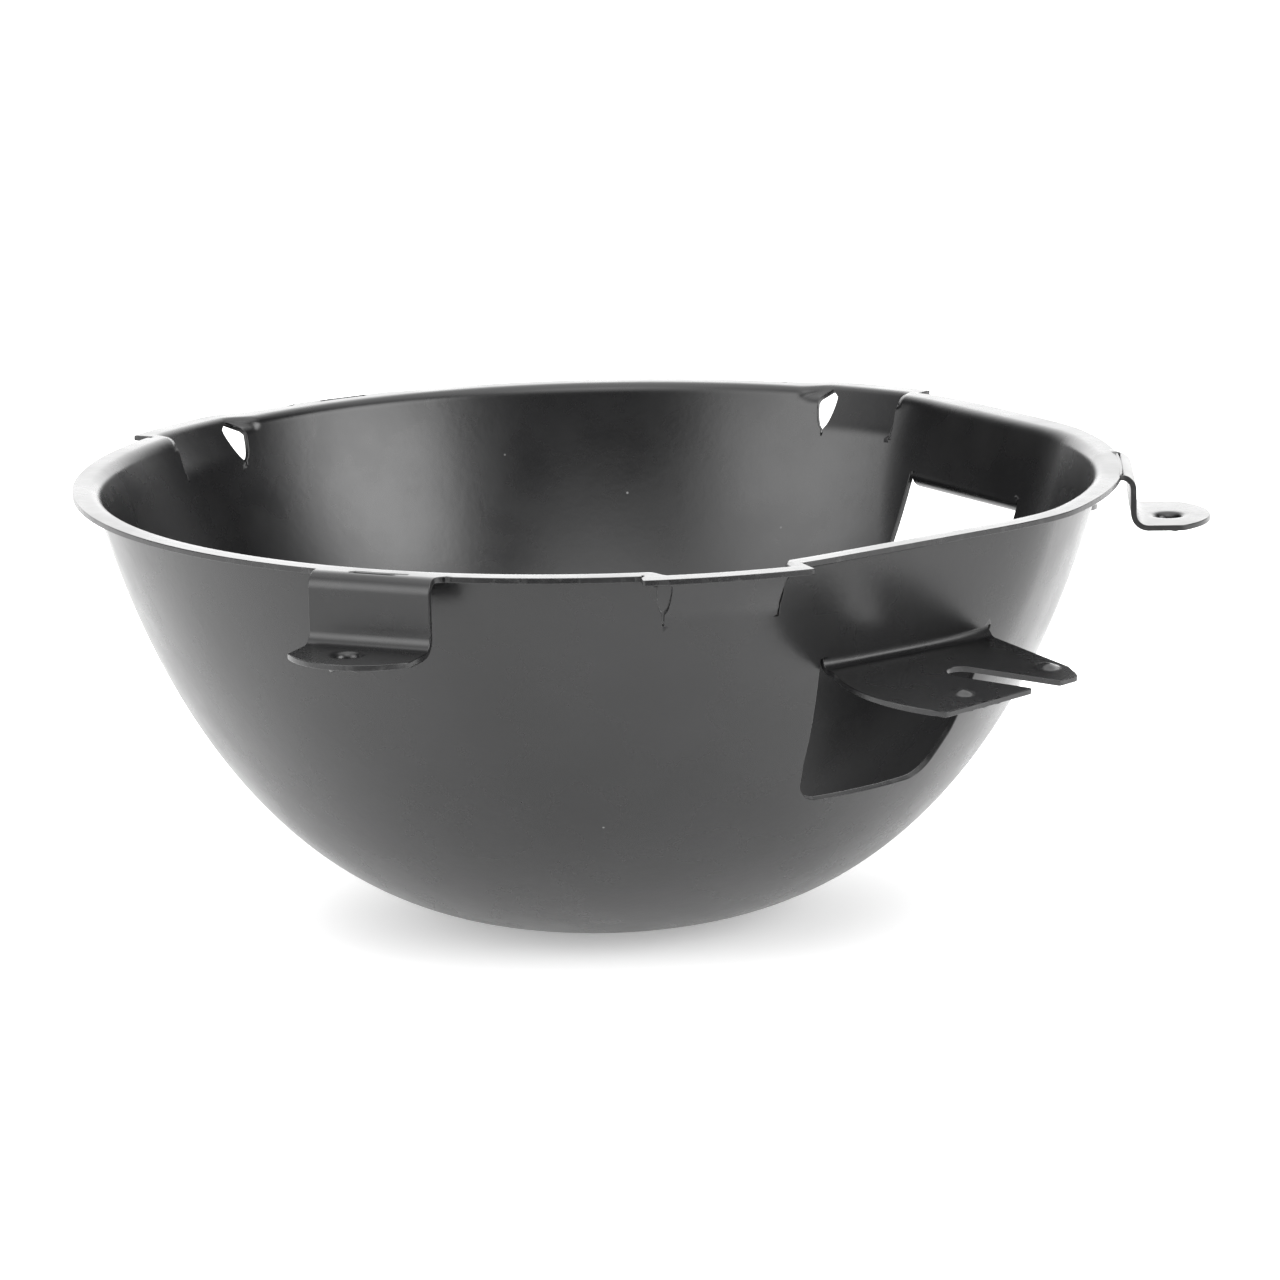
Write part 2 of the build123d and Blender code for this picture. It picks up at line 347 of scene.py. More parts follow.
def rounded(points, radii, step):
    """Open path through points with its corners rounded, sampled about every step."""
    points = [np.array(p, float) for p in points]
    path = [points[0]]
    for before, corner, after, radius in zip(points, points[1:], points[2:], radii):
        back, on = unit(before - corner), unit(after - corner)
        half_turn = acos(np.clip(back @ on, -1, 1)) / 2
        reach = radius / tan(half_turn)
        centre = corner + unit(back + on) * radius / sin(half_turn)
        first = corner + back * reach - centre
        last = corner + on * reach - centre
        start = atan2(first[1], first[0])
        turn = (atan2(last[1], last[0]) - start + pi) % (2 * pi) - pi
        count = max(3, ceil(abs(turn) * radius / (0.6 * step)))
        for k in range(count + 1):
            angle = start + turn * k / count
            path.append(centre + radius * np.array([cos(angle), sin(angle)]))
    path.append(points[-1])
    sampled = [path[0]]
    for a, b in zip(path, path[1:]):
        count = max(1, round(np.linalg.norm(b - a) / step))
        sampled += [a + (b - a) * (k + 1) / count for k in range(count)]
    return np.array(sampled)


# ---------------------------------------------------------------- columns and rows
def column_bearings():
    """Bearings of the upright grid lines, with extra ones at pockets and tab roots."""
    marks = []
    for pocket in LUG_POCKETS.values():
        for side, k in ((-1, 0), (1, 1)):
            edge, end = pocket["panel"][k], pocket["flange"][k]
            count = ceil(abs(end - edge) / EAR_STEP)
            marks.append(edge - side * LUG_SLIT)
            marks += list(np.linspace(edge + side * LUG_SLIT, end, count))
    tab_columns = {}
    for name, tab in RING_TABS.items():
        left, right = [degrees(asin((TAB_HALF + fillet) / RIM_R)) for fillet in TAB_FILLETS]
        own = tab["bearing"] + np.linspace(-left, right, TAB_COLUMN_COUNT)
        tab_columns[name] = own % 360
        marks += list(own)
    marks = np.unique(np.round(np.array(marks) % 360, 6))
    full = []
    for a, b in zip(marks, np.append(marks[1:], marks[0] + 360)):
        count = max(1, ceil((b - a) / COLUMN_STEP - 0.05))
        full += [a + (b - a) * k / count for k in range(count)]
    return np.array(full), {k: np.round(v, 6) for k, v in tab_columns.items()}


COLUMNS, TAB_COLUMNS = column_bearings()
NC = len(COLUMNS)

low_s = length_at(LUG_CREASE_Z)
high_s = length_at(WALL_END_Z)
WALL_S = np.concatenate([
    np.linspace(0, low_s, round(low_s / ROW_STEP) + 1),
    np.linspace(low_s, high_s, 12)[1:],
])
CREASE_ROW = round(low_s / ROW_STEP)

# How far each column belongs to a pocket: 1 on the panel, 0 on the plain rim.
share = np.zeros(NC)
on_panel = np.zeros(NC, bool)
on_ear = np.zeros(NC, bool)
ear_blend = np.zeros(NC)
square_end = np.zeros(NC, bool)
gape = np.zeros(NC)
lift = np.zeros(NC)
beside_pocket = np.zeros(NC, bool)
pocket_name = np.array([None] * NC, dtype=object)
for pocket, spec in LUG_POCKETS.items():
    middle = sum(spec["panel"]) / 2
    away = offset_of(COLUMNS, middle)
    for k, side in ((0, -1), (1, 1)):
        beyond = side * (away - (spec["panel"][k] - middle))
        reach = side * (spec["flange"][k] - spec["panel"][k])
        here = (side * away >= 0) & (beyond < LUG_REACH)
        share = np.where(here, smooth(1 - beyond / (LUG_FADE * reach)), share)
        on_panel |= here & (beyond < 0)
        ear = here & (beyond < reach + 1e-4)
        on_ear |= ear
        ear_blend = np.where(here, smooth(1 - beyond / reach), ear_blend)
        square_end |= ear & (spec["square"][k] | (beyond < 0))
        gives = np.clip(1 - np.abs(beyond) / LUG_GAPE_REACH, 0, None)
        gives = spec["gape"][k] * side * np.where(beyond < 0, -gives, gives)
        gape = np.where(here, gives, gape)
        lift = np.where(here, spec["lift"], lift)
        beside_pocket |= here & (beyond < LUG_BESIDE)
        pocket_name[ear] = pocket

LUG_SLOPE = LUG_PUSH / (DEPTH - SHEET - LUG_CREASE_Z - lift - LUG_CREASE_SOFT / 2)


def panel_push(z):
    """How far the pocket's panel stands out from the round wall at a height."""
    h = np.clip(z - LUG_CREASE_Z - lift, 0, None)
    start = h * h / (2 * LUG_CREASE_SOFT)
    return LUG_SLOPE * np.where(h < LUG_CREASE_SOFT, start, h - LUG_CREASE_SOFT / 2)


def slit_opening(z):
    """How far a slit gapes at a height: growing from its foot, rounded at its top."""
    foot, widest = LUG_GAPE_Z
    rise = np.clip((z - foot) / (widest - foot), 0, 1)
    close = np.clip((z - widest) / (bend_z - widest), 0, 1)
    return np.sqrt(rise * (2 - rise) * (1 - close**2))


def wall_row(s, z=None):
    """One level row of points round the wall, pushed out at the pockets."""
    s = np.broadcast_to(np.asarray(s, float), (NC,))
    z = height_at(s) if z is None else z
    bearings = COLUMNS + gape * slit_opening(z)
    plain = wall_radius(bearings, s)
    to_round = smooth((z - LUG_CREASE_Z) / LUG_ROUND_RISE)
    pushed = plain + (round_radius(s) - plain) * to_round + panel_push(z)
    pull = smooth((z - LUG_PULL_Z) / (bend_z - LUG_PULL_Z)) * share
    radius = np.where(on_panel, pushed, plain + (pushed - plain) * pull)
    point = out_of(bearings) * radius[:, None]
    point[:, 2] = z
    return point, radius


lean = np.radians(WALL_LEAN + share * (LUG_LEAN - WALL_LEAN))
bend_z = DEPTH - HALF - RIM_BEND_R * (1 - np.sin(lean))
top_row, top_r = wall_row(length_at(bend_z), bend_z)


def make_body():
    """Base, wall, rim bend and flange, with the pockets.

    Returns the rows of point numbers, how many of them are base and wall, and the
    number of the row along the plain rim's edge."""
    rows = []
    centre = sheet.add([(0, 0, HALF)])[0]
    for ring in BASE_RINGS:
        points = out_of(COLUMNS) * ring
        points[:, 2] = HALF
        rows.append(sheet.add(points))
    for s in WALL_S:
        points, radius = wall_row(s)
        ids = sheet.add(points)
        rows.append(ids)
        plain = ~beside_pocket | (s < low_s - 1.0)
        for k, normal in zip(ids[plain], wall_normal(COLUMNS, np.full(NC, s))[plain]):
            sheet.known_normals[int(k)] = normal
    wall_rows = len(rows)
    rows.append(sheet.add(top_row))
    centre_r = top_r + RIM_BEND_R * np.cos(lean)
    centre_z = bend_z - RIM_BEND_R * np.sin(lean)
    for k in range(1, RIM_BEND_STEPS + 1):
        angle = lean + (pi / 2 - lean) * k / RIM_BEND_STEPS
        points = out_of(COLUMNS) * (centre_r - RIM_BEND_R * np.cos(angle))[:, None]
        points[:, 2] = centre_z + RIM_BEND_R * np.sin(angle)
        rows.append(sheet.add(points))
    flats = [RIM_R - spec["rim_cut"] for spec in ADJUSTERS.values()]
    plain_edge = beside_flats(np.full(NC, RIM_R), COLUMNS, flats)
    ear_r = plain_edge + (LUG_EDGE_R - plain_edge) * np.maximum(EAR_LEAST, ear_blend)
    ear_r = np.where(square_end, LUG_EDGE_R, ear_r)
    edge = plain_edge + (ear_r - EAR_RIM - plain_edge) * ear_blend
    run_out = plain_edge + EAR_RUN_OUT * (ear_r - plain_edge)
    edge = np.where(on_ear & ~square_end, run_out, edge)
    for k in range(1, FLANGE_STEPS + 1):
        points = out_of(COLUMNS) * (centre_r + (edge - centre_r) * k / FLANGE_STEPS)[:, None]
        points[:, 2] = DEPTH - HALF
        rows.append(sheet.add(points))
    edge_row = len(rows) - 1
    for k in range(1, FLANGE_STEPS + 1):
        points = out_of(COLUMNS) * (edge + (ear_r - edge) * k / FLANGE_STEPS)[:, None]
        points[:, 2] = DEPTH - HALF
        rows.append(np.where(on_ear, len(sheet.points) + np.cumsum(on_ear) - 1, -1))
        sheet.add(points[on_ear])
    for k in range(NC):
        sheet.face((rows[0][(k + 1) % NC], rows[0][k], centre), "bowl")
    return rows, wall_rows, edge_row


def arc_of(bearing):
    """Name of the rim flange that a bearing belongs to."""
    front, right, left = [sum(spec["panel"]) / 2 for spec in LUG_POCKETS.values()]
    arcs = {"left": (left, front), "right": (front, right), "rear": (right, left)}
    for arc, (start, end) in arcs.items():
        if (bearing - start) % 360 <= (end - start) % 360:
            return arc
    return "rear"


body_rows, WALL_ROWS, EDGE_ROW = make_body()
FIRST_WALL = len(BASE_RINGS)


# ---------------------------------------------------------------- windows
def window_outline(spec):
    """The window's cut line below the bend, as along and height, from left to right."""
    top = spec["root_z"] + ADJ_STRIP
    low = spec["root_z"] - WINDOW_DEPTH
    corners = [
        (spec["left_edge"][0][0] - ADJ_RELIEF, top),
        (WINDOW_SIDES[0], low + WINDOW_SHOULDER),
        (WINDOW_LOW_EDGE[0], low),
        (WINDOW_LOW_EDGE[1], low),
        (WINDOW_SIDES[1], low + WINDOW_SHOULDER),
        (spec["end"][-1][0] + ADJ_RELIEF, top),
    ]
    radii = (10.0, WINDOW_CORNER_R, WINDOW_CORNER_R, WINDOW_CORNER_R)
    return rounded(corners, radii, 1.2)


WALL_GUESS_R = 82.0         # only starts the search in on_wall


def on_wall(spec, flat_points):
    """Bearing offset and wall length of points given as along and height."""
    along, z = flat_points[:, 0], flat_points[:, 1]
    s = length_at(z)
    turn = np.degrees(np.arcsin(along / WALL_GUESS_R))
    for _ in range(12):
        radius = wall_radius(spec["bearing"] + turn, s)
        turn = np.degrees(np.arcsin(along / radius))
    return turn, s


def cut_window(spec):
    """Fills around a window with triangles that follow its outline.

    Returns the grid cells that these replace, and the places along the tab's bend with
    the numbers of the points there."""
    bearing = spec["bearing"]
    cut = window_outline(spec)
    tab_along = np.linspace(spec["left_edge"][0][0], spec["end"][-1][0], ADJ_COLUMN_COUNT)
    top = spec["root_z"] + ADJ_STRIP
    seam = np.stack([tab_along, np.full(len(tab_along), top)], axis=1)
    outline = np.concatenate([seam, cut[::-1]])
    turn, s = on_wall(spec, outline)
    loop = np.stack([turn * WINDOW_SCALE, s], axis=1)
    offsets = offset_of(COLUMNS, bearing)
    order = np.argsort(offsets)
    wide = [k for k in order if turn.min() - 2.2 < offsets[k] < turn.max() + 2.2]
    rows = [i for i, v in enumerate(WALL_S) if s.min() - 4 < v < s.max() + 2.4]
    ids = np.array([[body_rows[FIRST_WALL + i][k] for k in wide] for i in rows])
    place = np.array([[(offsets[k] * WINDOW_SCALE, WALL_S[i]) for k in wide] for i in rows])
    border = [(0, j) for j in range(len(wide))]
    border += [(i, len(wide) - 1) for i in range(1, len(rows))]
    border += [(len(rows) - 1, j) for j in range(len(wide) - 2, -1, -1)]
    border += [(i, 0) for i in range(len(rows) - 2, 0, -1)]
    rim = np.array([place[b] for b in border])
    rim_ids = np.array([ids[b] for b in border])
    inner = place[1:-1, 1:-1].reshape(-1, 2)
    inner_ids = ids[1:-1, 1:-1].reshape(-1)
    keep = ~inside(loop, inner) & clear_of([loop], inner, 0.75)
    loop_ids = sheet.add(wall_point(bearing + turn, s))
    for k, normal in zip(loop_ids, wall_normal(bearing + turn, s)):
        sheet.known_normals[int(k)] = normal
    fill([rim, loop], [rim_ids, loop_ids], inner[keep], inner_ids[keep], "bowl", holes=(1,))
    cells = {(rows[i], wide[j]) for i in range(len(rows) - 1) for j in range(len(wide) - 1)}
    return cells, tab_along, loop_ids[:len(tab_along)]


taken_cells = set()
tab_seams = {}
for name, spec in ADJUSTERS.items():
    cells, along, seam_ids = cut_window(spec)
    taken_cells |= cells
    tab_seams[name] = (along, seam_ids)


def make_body_faces():
    """Quads of the wall, the rim and the pockets, leaving out slits and windows."""
    crease = FIRST_WALL + CREASE_ROW
    for i in range(len(body_rows) - 1):
        low, high = body_rows[i], body_rows[i + 1]
        for k in range(NC):
            n = (k + 1) % NC
            if high[k] < 0 or high[n] < 0:
                continue
            if (i - FIRST_WALL, k) in taken_cells:
                continue
            slit = on_panel[k] != on_panel[n]
            if slit and crease + 1.5 * lift[k] <= i < WALL_ROWS:
                continue
            if i < crease or (i < WALL_ROWS and not (on_panel[k] and on_panel[n])):
                piece = "bowl"
            elif on_ear[k] and on_ear[n]:
                piece = "lug_pocket_" + pocket_name[k]
            else:
                piece = "rim_flange_" + arc_of(COLUMNS[k] + 0.01)
            sheet.face((low[k], low[n], high[n], high[k]), piece)


make_body_faces()


# ---------------------------------------------------------------- ring screw tabs
def local_points(bearing, along, out, z):
    """Points from a tab's own axes: along the rim, out from the axis, and height."""
    side = out_of(np.array(bearing + 90.0))
    ahead = out_of(np.array(float(bearing)))
    along, out, z = np.broadcast_arrays(along, out, z)
    point = along[..., None] * side + out[..., None] * ahead
    point[..., 2] = z
    return point


def fillet_width(distance, fillet):
    """Half width added by the root fillet at a distance out from the rim's edge."""
    inward = np.clip(fillet - distance, 0, fillet)
    return fillet - np.sqrt(fillet**2 - inward**2)


def tab_root(name):
    """Point numbers of a tab's root on the rim's edge, with their along and out."""
    lookup = {round(b, 4): k for k, b in enumerate(COLUMNS)}
    columns = [lookup[round(b, 4)] for b in TAB_COLUMNS[name]]
    angles = np.radians(offset_of(COLUMNS[columns], RING_TABS[name]["bearing"]))
    return body_rows[EDGE_ROW][columns], RIM_R * np.sin(angles), RIM_R * np.cos(angles)


def ring_tab_strip(name, web_v, foot_z):
    """Sheet from the rim's edge over the rim bend, the web and the foot bend.

    Returns the numbers of the last row's points and how far along the tab they are."""
    bearing = RING_TABS[name]["bearing"]
    root, root_along, root_out = tab_root(name)
    spread = root_along / (TAB_HALF + np.where(root_along < 0, *TAB_FILLETS))
    rim_bend, foot_bend = TAB_BENDS
    start = web_v - rim_bend
    top = DEPTH - HALF

    def across(distance):
        left, right = [TAB_HALF + fillet_width(distance, fillet) for fillet in TAB_FILLETS]
        return spread * np.where(spread < 0, left, right)

    gap = start - RIM_R * cos(asin(TAB_HALF / RIM_R))
    rows = [root]
    for part in (0.3, 0.65, 1.0):
        out = root_out + (start - root_out) * part
        rows.append(sheet.add(local_points(bearing, across(gap * part), out, top)))
    for k in range(1, TAB_STEPS + 1):
        angle = pi / 2 * k / TAB_STEPS
        width = across(gap + rim_bend * angle)
        out = start + rim_bend * sin(angle)
        z = top - rim_bend * (1 - cos(angle))
        rows.append(sheet.add(local_points(bearing, width, out, z)))
    width = across(max(TAB_FILLETS))
    high, low = top - rim_bend, foot_z + foot_bend
    for k in range(1, TAB_STEPS + 1):
        z = high + (low - high) * k / TAB_STEPS
        rows.append(sheet.add(local_points(bearing, width, web_v, z)))
    for k in range(1, TAB_STEPS + 1):
        angle = pi / 2 * k / TAB_STEPS
        out = web_v + foot_bend * (1 - cos(angle))
        z = low - foot_bend * sin(angle)
        rows.append(sheet.add(local_points(bearing, width, out, z)))
    for low_row, high_row in zip(rows, rows[1:]):
        sheet.strip(low_row, high_row, "ring_tab_" + name)
    return rows[-1], width


def foot_outline(foot_v, end_v):
    """Free edge of a foot, along and out, with its tip an arc about end_v."""
    corner_v = end_v + sqrt(TAB_END_R**2 - TAB_HALF**2)
    swing = asin(TAB_HALF / TAB_END_R)
    tip = [
        (TAB_END_R * sin(a), end_v + TAB_END_R * cos(a))
        for a in np.linspace(swing, -swing, 25)
    ]
    sides = [
        (TAB_HALF, foot_v + (corner_v - foot_v) * k / TAB_STEPS)
        for k in range(1, TAB_STEPS)
    ]
    others = [(-a, v) for a, v in sides[::-1]]
    return np.array(sides + tip + others)


def ring_tab_foot(name, base_ids, width, foot_v, foot_z):
    """Plate of the foot. Returns the numbers of the points round its screw hole."""
    tab = RING_TABS[name]
    bearing = tab["bearing"]
    tip_v = tab["web_r"] + TAB_TIP_OUT
    free = foot_outline(foot_v, tip_v - TAB_END_R)
    base = np.stack([width, np.full(len(width), foot_v)], axis=1)
    loop = np.concatenate([base, free])
    free_ids = sheet.add(local_points(bearing, free[:, 0], free[:, 1], foot_z))
    ids = np.concatenate([base_ids, free_ids])
    ring_r = TAB_HOLE_R + HALF + COLLAR_BEND_R
    ring = np.stack([np.sin(HOLE_TURNS), np.cos(HOLE_TURNS)], axis=1) * ring_r
    ring = ring + (TAB_HOLE_ALONG, tab["web_r"] + TAB_HOLE_OUT)
    ring_ids = sheet.add(local_points(bearing, ring[:, 0], ring[:, 1], foot_z))
    rows_v = np.arange(foot_v + 1, tip_v, FOOT_GRID)
    columns_u = np.arange(-10, 10.1, FOOT_GRID)
    grid = np.array([(a, v) for v in rows_v for a in columns_u])
    grid = grid[inside(loop, grid) & ~inside(ring, grid)]
    grid = grid[clear_of([loop, ring], grid, 0.7)]
    grid_ids = sheet.add(local_points(bearing, grid[:, 0], grid[:, 1], foot_z))
    piece = "ring_tab_" + name
    fill([loop, ring], [ids, ring_ids], grid, grid_ids, piece, holes=(1,))
    return ring_ids


def ring_tab_collar(name, ring_ids, foot_z):
    """Collar drawn down from the screw hole, a little ragged at its end."""
    tab = RING_TABS[name]
    bearing = tab["bearing"]
    hole_v = tab["web_r"] + TAB_HOLE_OUT
    bend = np.linspace(0, pi / 2, 6)[1:]
    profile = [(COLLAR_BEND_R * (1 - sin(a)), COLLAR_BEND_R * (1 - cos(a))) for a in bend]
    profile += [(0.0, drop) for drop in (1.1, 1.45, COLLAR_DEPTH)]
    coarse, fine = COLLAR_RAGGED
    collar = [ring_ids]
    for spread, drop in profile:
        ragged = 0.0
        if drop == COLLAR_DEPTH:
            ragged = coarse * np.sin(3 * HOLE_TURNS + 1.0)
            ragged = ragged + fine * np.sin(7 * HOLE_TURNS + 2.0 + bearing)
        radius = TAB_HOLE_R + HALF + spread + 0.25 * ragged
        along = TAB_HOLE_ALONG + radius * np.sin(HOLE_TURNS)
        out = hole_v + radius * np.cos(HOLE_TURNS)
        collar.append(sheet.add(local_points(bearing, along, out, foot_z - drop + ragged)))
    for low_row, high_row in zip(collar, collar[1:]):
        low_loop = np.append(low_row, low_row[0])
        high_loop = np.append(high_row, high_row[0])
        sheet.strip(low_loop[::-1], high_loop[::-1], "ring_tab_" + name)


def ring_tab(name):
    """Sheet of one ring tab, from the rim's edge to the foot and its screw hole."""
    web_v = RING_TABS[name]["web_r"] - HALF
    foot_z = DEPTH - RING_TABS[name]["drop"] - HALF
    base_ids, width = ring_tab_strip(name, web_v, foot_z)
    ring_ids = ring_tab_foot(name, base_ids, width, web_v + TAB_BENDS[1], foot_z)
    ring_tab_collar(name, ring_ids, foot_z)


for name in RING_TABS:
    ring_tab(name)


# ---------------------------------------------------------------- adjuster tabs
def adjuster_bend(name):
    """Sheet from the window's top over the bend.

    Returns the numbers of its last row's points, and that row's out and height."""
    spec = ADJUSTERS[name]
    bearing = spec["bearing"]
    along, seam = tab_seams[name]
    lean_angle = atan((spec["rim_flat_r"] - spec["flat_r"]) / (DEPTH - spec["root_z"]))
    droop = radians(ADJ_DROOP)
    wall_out = np.array([cos(lean_angle), -sin(lean_angle)])
    tab_up = np.array([sin(droop), cos(droop)])
    upper_r = ADJ_BEND_R - HALF
    corner = np.array([spec["flat_r"], spec["root_z"]])
    centre = corner + np.linalg.solve(np.array([wall_out, tab_up]), [upper_r, upper_r])

    def middle(share_of_bend):
        angle = -lean_angle + (pi / 2 - droop + lean_angle) * share_of_bend
        return centre - ADJ_BEND_R * np.array([cos(angle), sin(angle)])

    seam_z = spec["root_z"] + ADJ_STRIP
    at_seam = np.array([sheet.points[k] for k in seam])
    stray = at_seam - local_points(bearing, along, flat_distance(spec, seam_z), seam_z)
    rows = [seam]
    for k in range(ADJ_BEND_STEPS + 1):
        out, z = middle(k / ADJ_BEND_STEPS)
        points = local_points(bearing, along, out, z) + stray * (1 - smooth((k + 1) / 6))
        rows.append(sheet.add(points))
    for low_row, high_row in zip(rows, rows[1:]):
        sheet.strip(low_row[::-1], high_row[::-1], "adjuster_tab_" + name)
    return rows[-1], middle(1.0)


def crossing(origin, way, a, b):
    """Where the line from origin along way meets the line through a and b."""
    a, b = np.array(a), np.array(b)
    reach = np.linalg.solve(np.stack([way, a - b], axis=1), a - origin)
    return origin + way * reach[0]


def curve_through(points, samples):
    """Parabola through three points, sampled from the last point to the first."""
    p0, p1, p2 = [np.array(p) for p in points]
    share_1 = np.linalg.norm(p1 - p0) / (np.linalg.norm(p1 - p0) + np.linalg.norm(p2 - p1))
    return [
        p0 * (x - share_1) * (x - 1) / share_1
        + p1 * x * (x - 1) / (share_1 * (share_1 - 1))
        + p2 * x * (x - share_1) / (1 - share_1)
        for x in np.linspace(0, 1, samples)[::-1]
    ]


def plate_outline(spec, start_out):
    """Free edge of an adjuster tab's plate, with its slot, as along and out."""
    turn = radians(SLOT_TURN)
    way = np.array([sin(turn), cos(turn)])
    right_hand = np.array([cos(turn), -sin(turn)])
    begin_slot = np.array(spec["slot_start"])
    end = spec["end"]
    slot_right = begin_slot + SLOT_HALF * right_hand
    slot_left = begin_slot - SLOT_HALF * right_hand
    mouth_right = crossing(slot_right, way, end[0], end[1])
    mouth_left = crossing(slot_left, way, spec["left_edge"][-1], end[0])
    round_end = [
        begin_slot + SLOT_HALF * (right_hand * cos(a) - way * sin(a))
        for a in np.linspace(0, pi, 13)
    ]
    first = [
        (end[2][0], start_out),
        (end[2][0], end[2][1]),
        end[1],
        mouth_right,
        slot_right + way * 0.01,
    ]
    right_side = rounded(first, (1.2, 1.2, 0.5), 1.1)
    curve = curve_through(spec["left_edge"], 24)
    last = [slot_left + way * 0.01, mouth_left, curve[0], curve[2]]
    left_side = rounded(last, (0.5, 0.7), 1.1)
    return np.concatenate([right_side[1:], np.array(round_end), left_side, np.array(curve[3:])])


def dimple_points(spec):
    """Rings of points over an adjuster tab's dimples, as along and out."""
    rings = []
    for along, out in spec["dimples"]:
        rings.append(np.array([(along, out)]))
        for r in DIMPLE_RINGS:
            turns = np.linspace(0, 2 * pi, max(7, round(2 * pi * r / 0.55)))[:-1]
            rings.append(np.stack([along + r * np.cos(turns), out + r * np.sin(turns)], axis=1))
    return np.concatenate(rings)


def plate_points(spec, plate, places):
    """Points of a plate's middle surface, with the dimples raised."""
    along, out = places[:, 0], places[:, 1] + spec["flat_r"]
    z = plate[1] - (out - plate[0]) * tan(radians(ADJ_DROOP))
    for dimple_along, dimple_out in spec["dimples"]:
        r = np.hypot(along - dimple_along, out - spec["flat_r"] - dimple_out)
        crown = np.where(r < DIMPLE_R, 0.5 + 0.5 * np.cos(pi * r / DIMPLE_R), 0.0)
        z = z + DIMPLE_RISE * crown
    return local_points(spec["bearing"], along, out, z)


def adjuster_tab(name):
    """Forked tab: bend out of the wall, then the plate with its slot and dimples."""
    spec = ADJUSTERS[name]
    bend_ids, plate = adjuster_bend(name)
    start_out = plate[0] - spec["flat_r"]
    free = plate_outline(spec, start_out)
    along = tab_seams[name][0]
    base = np.stack([along, np.full(len(along), start_out)], axis=1)
    loop = np.concatenate([base, free])
    ids = np.concatenate([bend_ids, sheet.add(plate_points(spec, plate, free))])
    dense = dimple_points(spec)
    dense = dense[inside(loop, dense) & clear_of([loop], dense, 0.45)]
    rows_v = np.arange(start_out + 0.8, 29, PLATE_GRID)
    columns_u = np.arange(-17, 23, PLATE_GRID)
    grid = np.array([(u, v) for v in rows_v for u in columns_u])
    grid = grid[inside(loop, grid)]
    grid = grid[clear_of([loop, dense], grid, 0.75)]
    inner = np.concatenate([dense, grid])
    inner_ids = sheet.add(plate_points(spec, plate, inner))
    fill([loop], [ids], inner, inner_ids, "adjuster_tab_" + name, turn=-1)


for name in ADJUSTERS:
    adjuster_tab(name)


# ---------------------------------------------------------------- thickness
def weighted_normals(points, faces):
    """Vertex normals, each face weighted by its angle at the point."""
    normals = np.zeros_like(points)
    for size in (3, 4):
        group = np.array([f for f in faces if len(f) == size])
        if not len(group):
            continue
        for k in range(size):
            here = points[group[:, k]]
            ahead = unit(points[group[:, (k + 1) % size]] - here)
            back = unit(points[group[:, k - 1]] - here)
            cross = unit(np.cross(ahead, back))
            angle = np.arccos(np.clip((ahead * back).sum(axis=1), -1, 1))
            np.add.at(normals, group[:, k], cross * angle[:, None])
    return unit(normals)


points = np.array(sheet.points)
normals = weighted_normals(points, sheet.faces)
for k, n in sheet.known_normals.items():
    if n @ normals[k] > 0.9:
        normals[k] = n

edge_owner = {}
for number, face in enumerate(sheet.faces):
    for a, b in zip(face, face[1:] + face[:1]):
        edge_owner[a, b] = number
free_next, free_before = {}, {}
for a, b in edge_owner:
    if (b, a) not in edge_owner:
        free_next[a] = b
        free_before[b] = a

# The edge of the sheet at each rim point: the way out of the metal, in its surface.
rim_out = {}
for k, after in free_next.items():
    before = free_before[k]
    sides = []
    for a, b in ((before, k), (k, after)):
        sides.append(unit(np.cross(points[b] - points[a], normals[k])))
    middle = unit(sides[0] + sides[1])
    rim_out[k] = middle / max(0.75, middle @ sides[0])

RIM_TURNS = (45.0, 90.0)
outer_place = points + normals * HALF
inner_place = points - normals * HALF
rim_places, rim_normals = {}, {}
for k, way in rim_out.items():
    n = normals[k]
    outer_place[k] = points[k] - way * EDGE_R + n * HALF
    inner_place[k] = points[k] - way * EDGE_R - n * HALF
    flat_way = unit(way)
    places, facing = [], []
    for side, turns in ((1, RIM_TURNS), (-1, RIM_TURNS[::-1])):
        for turn in turns:
            a = radians(turn)
            off_middle = side * (HALF - EDGE_R + EDGE_R * cos(a))
            places.append(points[k] + way * EDGE_R * (sin(a) - 1) + n * off_middle)
            facing.append(unit(flat_way * sin(a) + n * side * cos(a)))
    rim_places[k], rim_normals[k] = places, facing


